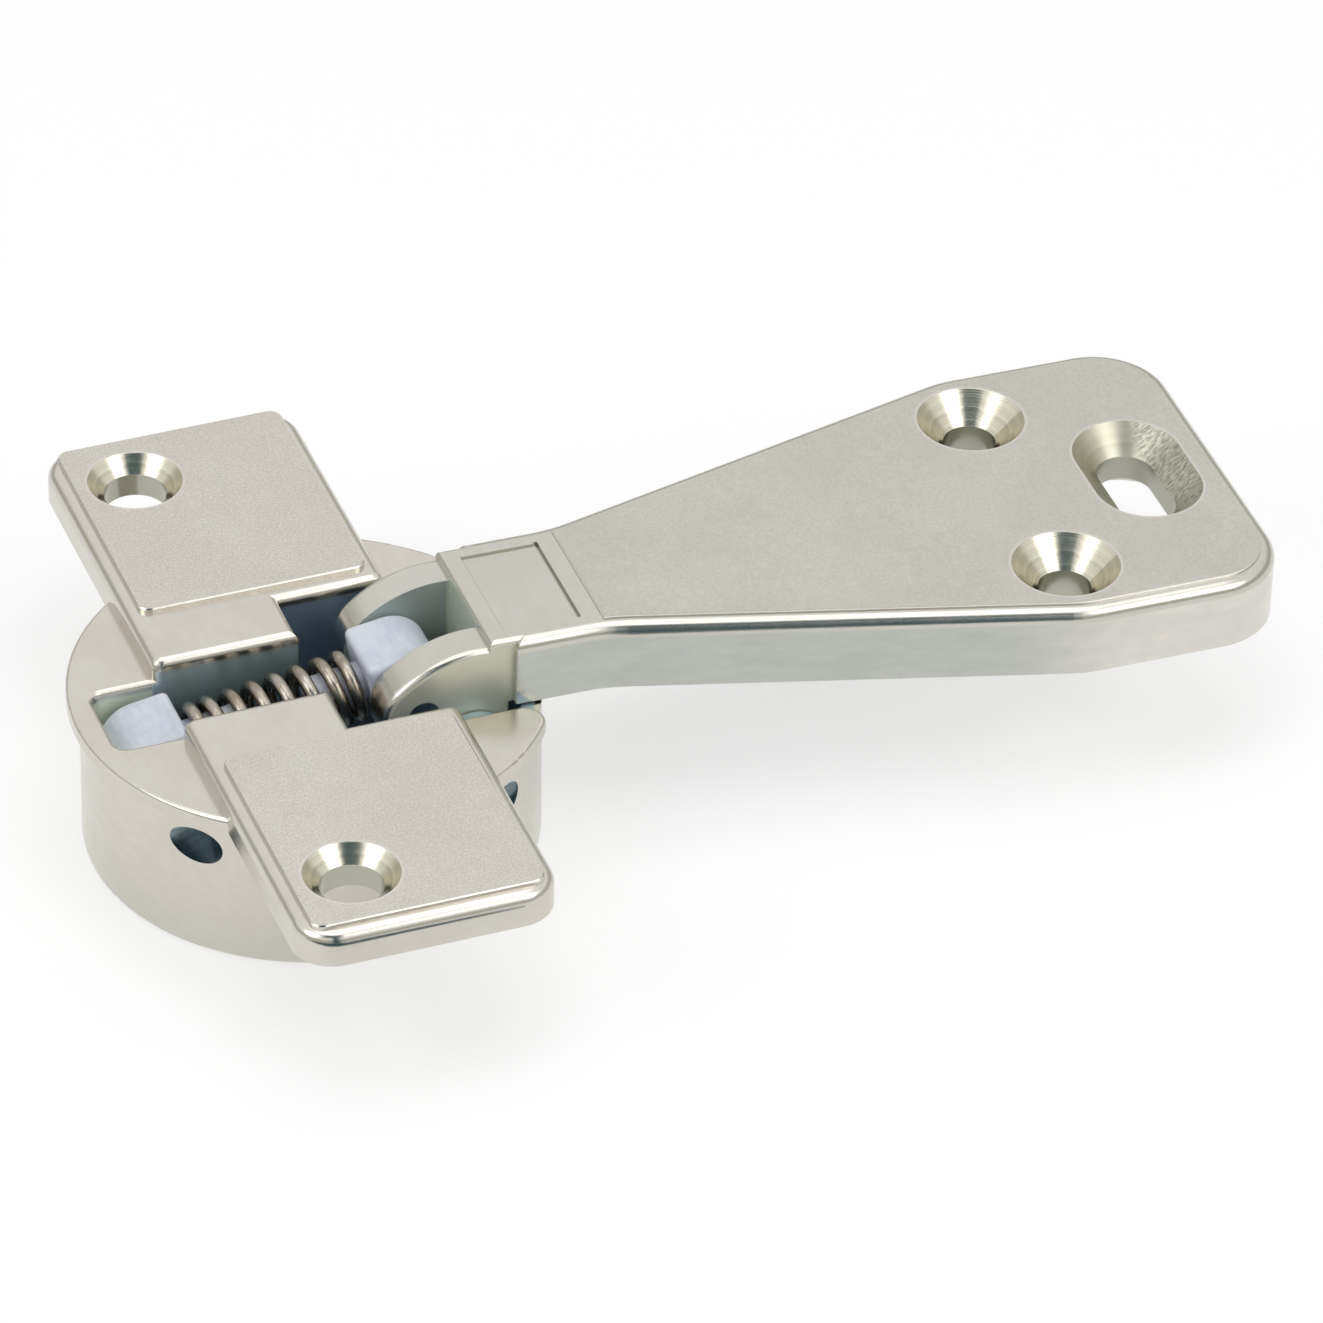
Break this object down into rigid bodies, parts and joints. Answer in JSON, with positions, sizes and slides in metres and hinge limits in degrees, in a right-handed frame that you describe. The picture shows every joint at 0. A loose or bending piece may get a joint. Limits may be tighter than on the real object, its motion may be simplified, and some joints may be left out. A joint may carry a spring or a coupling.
{
  "type": "cabinet hinge",
  "caption": "Sprung cabinet hinge: a round cup with flat screw-on wings and a flared arm plate, held open or shut by an over-centre coil spring between nylon seats.",
  "frame": {"origin": "on the cup axis, at the door face that the wings and the lip lie on", "axes": "+X from the cup towards the arm plate, +Y along the wings, +Z out of the door"},
  "size_m": [0.0924, 0.065, 0.0185],
  "materials": {
    "nickel_plate": "satin nickel plating on cast zinc",
    "pin_steel": "plain drawn steel",
    "spring_steel": "bright drawn wire",
    "white_nylon": "moulded white nylon"
  },
  "bodies": {
    "cup": {"cup_casting": "nickel_plate", "hinge_pin": "pin_steel", "spring_anchor_pin": "pin_steel"},
    "arm": {"hinge_arm": "nickel_plate", "follower_pin": "pin_steel"},
    "rear_seat": {"rear_spring_seat": "white_nylon", "coil_spring": "spring_steel"},
    "front_seat": {"front_spring_seat": "white_nylon"}
  },
  "joints": [
    {"name": "arm_swing", "type": "hinge", "parent": "cup", "child": "arm", "pos_m": [0.0107, 0, -0.0033], "axis": [0, -1, 0], "range_deg": [0, 91.3], "deforming": ["coil_spring"]},
    {"name": "rear_seat_rock", "type": "hinge", "parent": "cup", "child": "rear_seat", "pos_m": [-0.0129, 0, -0.00285], "axis": [0, -1, 0], "range_deg": [-22, 0]},
    {"name": "front_seat_rock", "type": "hinge", "parent": "arm", "child": "front_seat", "pos_m": [0.00693, 0, 0.00034], "axis": [0, -1, 0], "range_deg": [-114, 0]}
  ],
  "couplings": [
    {"joint": "rear_seat_rock", "follows": "arm_swing", "ratio": -0.23256},
    {"joint": "front_seat_rock", "follows": "arm_swing", "ratio": -1.2326}
  ]
}
